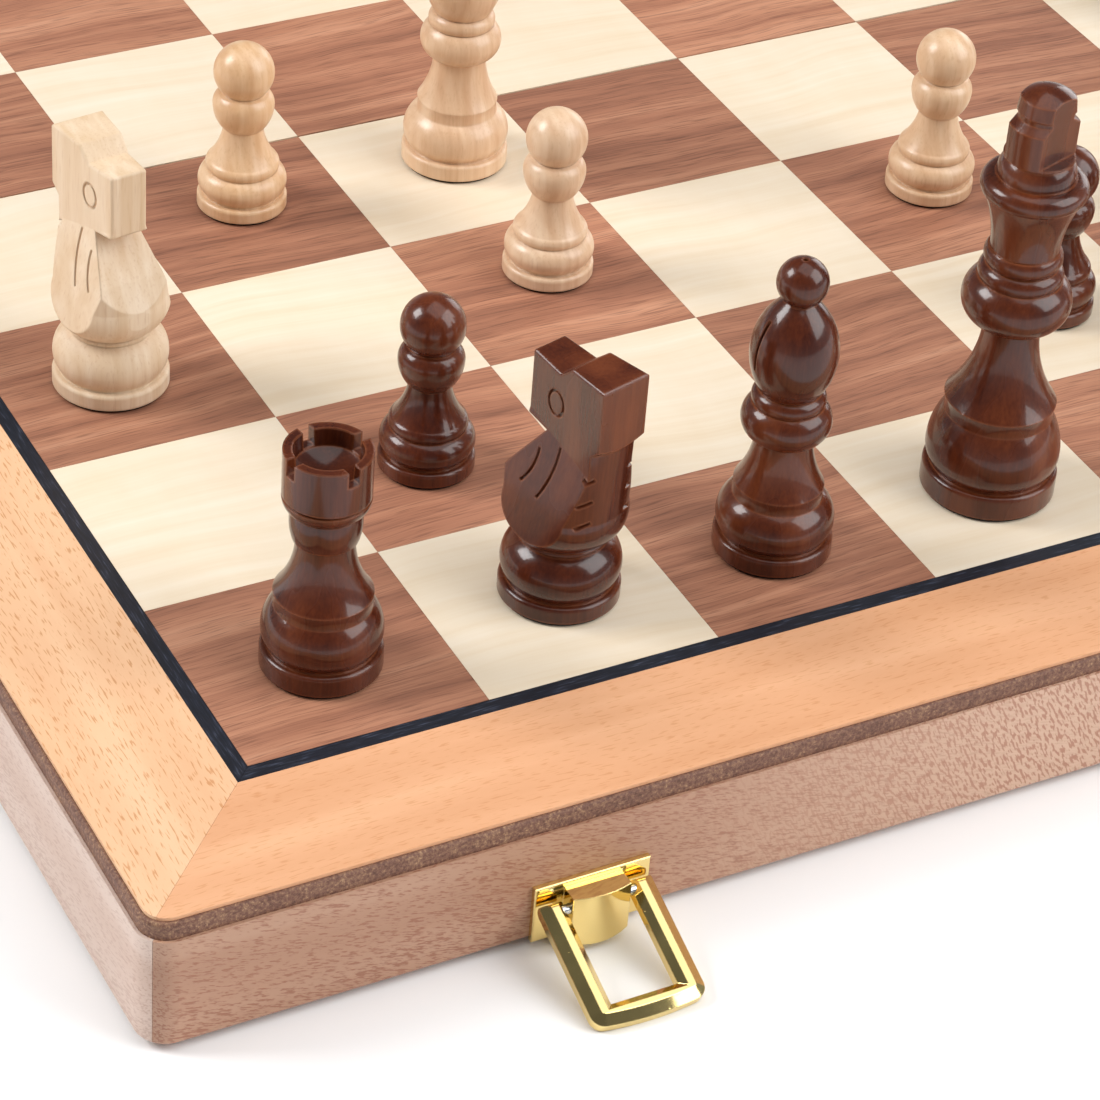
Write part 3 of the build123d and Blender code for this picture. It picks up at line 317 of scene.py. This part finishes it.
shade = add(rail, "ShaderNodeMix", {0: mask, 6: shade, 7: linear("#a1634a")}, out=2, data_type="RGBA")
bump = add(rail, "ShaderNodeBump", {"Height": flecks, "Strength": 0.12, "Distance": 0.0001})
surface(rail, Base_Color=shade, Roughness=0.42, Normal=bump)
finish(rail, "near_rails", "far_rails")


# The wells are parted by thin planed poplar slats, glued in on edge under the panels and left without
# lacquer. Poplar is pale and fine in grain, with faint lines about 1 mm wide along each slat.

slat = new_material("planed_poplar")
place = add(slat, "ShaderNodeTexCoord", {}, out="Object")
long = add(slat, "ShaderNodeVectorMath", {0: place, 1: (60, 60, 900)}, operation="MULTIPLY")
lines = add(slat, "ShaderNodeTexNoise", {"Vector": long, "Scale": 1, "Detail": 4})
shade = add(slat, "ShaderNodeValToRGB", {0: lines}, stops=[
    (0.3, linear("#cfae84")), (0.7, linear("#e4cda8"))])
bump = add(slat, "ShaderNodeBump", {"Height": lines, "Strength": 0.15, "Distance": 0.0001})
surface(slat, Base_Color=shade, Roughness=0.6, Normal=bump)
finish(slat, "near_dividers", "far_dividers")


# Each well is lined with a glued piece of green wool felt, matt, with a fuzzy pressed nap. The fibres
# are finer than any view shows, so the nap is drawn in tufts of about 0.5 mm.

felt = new_material("pressed_wool_felt")
place = add(felt, "ShaderNodeTexCoord", {}, out="Object")
nap = add(felt, "ShaderNodeTexNoise", {"Vector": place, "Scale": 2200, "Detail": 3, "Roughness": 0.75})
patch = add(felt, "ShaderNodeTexNoise", {"Vector": place, "Scale": 90, "Detail": 2})
mixed = add(felt, "ShaderNodeMath", {0: patch, 1: 0.4, 2: nap}, operation="MULTIPLY_ADD")
shade = add(felt, "ShaderNodeValToRGB", {0: mixed}, stops=[
    (0.5, linear("#123a22")), (0.9, linear("#2f6b42"))])
bump = add(felt, "ShaderNodeBump", {"Height": nap, "Strength": 0.6, "Distance": 0.0003})
surface(felt, Base_Color=shade, Roughness=0.95, Normal=bump, Sheen_Weight=0.4, Sheen_Roughness=0.5)
finish(felt, "near_felt_lining", "far_felt_lining")


# Two small brass butt hinges join the halves. The leaves are rolled from strip and tumbled, so they
# have fine lines along the strip and a soft shine, and the countersunk screws match them.

brass = new_material("rolled_brass")
place = add(brass, "ShaderNodeTexCoord", {}, out="Object")
long = add(brass, "ShaderNodeVectorMath", {0: place, 1: (90, 4000, 4000)}, operation="MULTIPLY")
lines = add(brass, "ShaderNodeTexNoise", {"Vector": long, "Scale": 1, "Detail": 2})
rough = add(brass, "ShaderNodeMapRange", {"Value": lines, "To Min": 0.2, "To Max": 0.42})
bump = add(brass, "ShaderNodeBump", {"Height": lines, "Strength": 0.1, "Distance": 0.00005})
surface(brass, Base_Color=linear("#dcb95a"), Metallic=1.0, Roughness=rough, Normal=bump)
finish(brass, "near_hinge_leaves", "far_hinge_leaves", "near_screws", "far_screws")


# The hinge wires and the pivots of the latches are drawn steel, bright and smooth. The die leaves faint
# lines along them, drawn here 0.2 mm wide, which is as coarse as they need to be to show.

wire = new_material("drawn_steel_wire")
place = add(wire, "ShaderNodeTexCoord", {}, out="Object")
long = add(wire, "ShaderNodeVectorMath", {0: place, 1: (60, 5000, 5000)}, operation="MULTIPLY")
lines = add(wire, "ShaderNodeTexNoise", {"Vector": long, "Scale": 1, "Detail": 1})
rough = add(wire, "ShaderNodeMapRange", {"Value": lines, "To Min": 0.12, "To Max": 0.25})
surface(wire, Base_Color=linear("#c9cbce"), Metallic=1.0, Roughness=rough)
finish(wire, "hinge_pins", "latch_pins")


# The latches and keepers are zinc castings with polished gold plating: near mirror bright, a little
# wavy from the polishing, with softened edges and here and there a pit.

plated = new_material("gold_plated_casting")
place = add(plated, "ShaderNodeTexCoord", {}, out="Object")
wave = add(plated, "ShaderNodeTexNoise", {"Vector": place, "Scale": 260, "Detail": 2})
pits = add(plated, "ShaderNodeTexVoronoi", {"Vector": place, "Scale": 700})
pit = add(plated, "ShaderNodeMapRange", {"Value": pits, "From Min": 0.03, "From Max": 0.1})
rough = add(plated, "ShaderNodeMapRange", {"Value": wave, "To Min": 0.05, "To Max": 0.12})
eased = add(plated, "ShaderNodeBevel", {"Radius": 0.00025})
bump = add(plated, "ShaderNodeBump",
           {"Height": wave, "Strength": 0.08, "Distance": 0.0004, "Normal": eased})
bump = add(plated, "ShaderNodeBump",
           {"Height": pit, "Strength": 0.15, "Distance": 0.0001, "Normal": bump})
surface(plated, Base_Color=linear("#f0d792"), Metallic=1.0, Roughness=rough, Normal=bump)
finish(plated, "latch_plates", "latch_bail_left", "latch_bail_right", "keeper_plates")


# The men are turned hardwood with the grain upright, and the horses are sawn and carved. One side is
# stained dark brown and lacquered to a gloss, and the stain is rubbed thin and reddish at the edges.
# The soles are thin discs of black felt.

board_top = 0.02535
sole = 0.0006
seam = 0.00002
sole_felt = linear("#17130f")


def sole_mask(material, place):
    """One on the felt disc under a man and nothing above it, with the seam left to the wood."""
    height = add(material, "ShaderNodeSeparateXYZ", {0: place}, out="Z")
    return add(material, "ShaderNodeMath", {0: height, 1: board_top + sole - seam}, operation="LESS_THAN")


dark = new_material("dark_stained_lacquered_wood")
place = add(dark, "ShaderNodeTexCoord", {}, out="Object")
grain, lot = own_grain(dark, 0.002)
eased = add(dark, "ShaderNodeBevel", {"Radius": 0.0006})
flat = add(dark, "ShaderNodeNewGeometry", {}, out="Normal")
agree = add(dark, "ShaderNodeVectorMath", {0: eased, 1: flat}, out="Value", operation="DOT_PRODUCT")
edge = add(dark, "ShaderNodeMapRange", {"Value": agree, "From Min": 0.995, "From Max": 0.9})
upright = add(dark, "ShaderNodeVectorMath", {0: grain, 1: (1700, 1700, 130)}, operation="MULTIPLY")
pores = add(dark, "ShaderNodeTexNoise", {"Vector": upright, "Scale": 1, "Detail": 2, "Roughness": 0.6})
broad = add(dark, "ShaderNodeVectorMath", {0: grain, 1: (110, 110, 30)}, operation="MULTIPLY")
cloud = add(dark, "ShaderNodeTexNoise", {"Vector": broad, "Scale": 1, "Detail": 2})
figure = add(dark, "ShaderNodeMath", {0: pores, 1: 0.35, 2: cloud}, operation="MULTIPLY_ADD")
tone = add(dark, "ShaderNodeValToRGB", {0: figure}, stops=[
    (0.5, linear("#3f180c")), (0.7, linear("#572612")), (0.9, linear("#6c351b"))])
light = add(dark, "ShaderNodeMapRange", {"Value": lot, "To Min": 0.9, "To Max": 1.12})
tone = add(dark, "ShaderNodeHueSaturation", {"Color": tone, "Value": light})
worn = add(dark, "ShaderNodeMath", {0: edge, 1: 0.7}, operation="MULTIPLY")
shade = add(dark, "ShaderNodeMix", {0: worn, 6: tone, 7: linear("#96532f")}, out=2, data_type="RGBA")
under = sole_mask(dark, place)
shade = add(dark, "ShaderNodeMix", {0: under, 6: shade, 7: sole_felt}, out=2, data_type="RGBA")
rough = add(dark, "ShaderNodeMapRange", {"Value": cloud, "To Min": 0.2, "To Max": 0.34})
rough = add(dark, "ShaderNodeMath", {0: under, 1: 0.7, 2: rough}, operation="MULTIPLY_ADD")
orange_peel = add(dark, "ShaderNodeTexNoise", {"Vector": place, "Scale": 700, "Detail": 2})
bump = add(dark, "ShaderNodeBump",
           {"Height": pores, "Strength": 0.1, "Distance": 0.0001, "Normal": eased})
bump = add(dark, "ShaderNodeBump",
           {"Height": orange_peel, "Strength": 0.12, "Distance": 0.0003, "Normal": bump})
surface(dark, Base_Color=shade, Roughness=rough, Normal=bump,
        IOR=1.33, Coat_Weight=0.45, Coat_Roughness=0.08)
dark_men = [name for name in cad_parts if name.startswith("dark_")]
finish(dark, *dark_men)


# The other side is natural wood under satin lacquer, pinkish cream, with faint upright growth lines
# and the fine rings that the turning leaves. The carved horses are hand sanded, paler and more matt.

for name, shades, gloss, coat, horses in (
        ("natural_lacquered_wood", ("#d4aa84", "#dfba95", "#e9c9a7"), 0.36, 0.25, False),
        ("sanded_natural_wood", ("#dcc0a0", "#e4ccb0", "#ecd8c0"), 0.55, 0.0, True)):
    pale = new_material(name)
    place = add(pale, "ShaderNodeTexCoord", {}, out="Object")
    grain, lot = own_grain(pale, 0.003)
    eased = add(pale, "ShaderNodeBevel", {"Radius": 0.0005})
    broad = add(pale, "ShaderNodeVectorMath", {0: grain, 1: (700, 230, 30)}, operation="MULTIPLY")
    rings = add(pale, "ShaderNodeTexNoise",
                {"Vector": broad, "Scale": 1, "Detail": 2, "Roughness": 0.5})
    upright = add(pale, "ShaderNodeVectorMath", {0: grain, 1: (2600, 2600, 190)}, operation="MULTIPLY")
    pores = add(pale, "ShaderNodeTexNoise", {"Vector": upright, "Scale": 1, "Detail": 2})
    cloud = add(pale, "ShaderNodeTexNoise", {"Vector": grain, "Scale": 45, "Detail": 1})
    figure = add(pale, "ShaderNodeMath", {0: cloud, 1: 0.5, 2: rings}, operation="MULTIPLY_ADD")
    tone = add(pale, "ShaderNodeValToRGB", {0: figure}, stops=[
        (0.5, linear(shades[0])), (0.75, linear(shades[1])), (1.0, linear(shades[2]))])
    mask = add(pale, "ShaderNodeMapRange",
               {"Value": pores, "From Min": 0.55, "From Max": 0.75, "To Max": 0.25})
    shade = add(pale, "ShaderNodeMix",
                {0: mask, 6: tone, 7: linear("#b98a62")}, out=2, data_type="RGBA")
    light = add(pale, "ShaderNodeMapRange", {"Value": lot, "To Min": 0.96, "To Max": 1.04})
    depth = add(pale, "ShaderNodeMapRange", {"Value": lot, "To Min": 1.1, "To Max": 0.85})
    shade = add(pale, "ShaderNodeHueSaturation", {"Color": shade, "Value": light, "Saturation": depth})
    under = sole_mask(pale, place)
    shade = add(pale, "ShaderNodeMix", {0: under, 6: shade, 7: sole_felt}, out=2, data_type="RGBA")
    rough = add(pale, "ShaderNodeMath", {0: under, 1: 0.4, 2: gloss}, operation="MULTIPLY_ADD")
    lathe = add(pale, "ShaderNodeVectorMath", {0: place, 1: (20, 20, 3300)}, operation="MULTIPLY")
    lathe = add(pale, "ShaderNodeTexNoise", {"Vector": lathe, "Scale": 1, "Detail": 1})
    bump = add(pale, "ShaderNodeBump",
               {"Height": lathe, "Strength": 0.12, "Distance": 0.0001, "Normal": eased})
    bump = add(pale, "ShaderNodeBump",
               {"Height": pores, "Strength": 0.1, "Distance": 0.0001, "Normal": bump})
    surface(pale, Base_Color=shade, Roughness=rough, Normal=bump, Coat_Weight=coat, Coat_Roughness=0.2)
    light_men = [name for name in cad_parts
                 if name.startswith("light_") and horses == ("knight" in name)]
    finish(pale, *light_men)
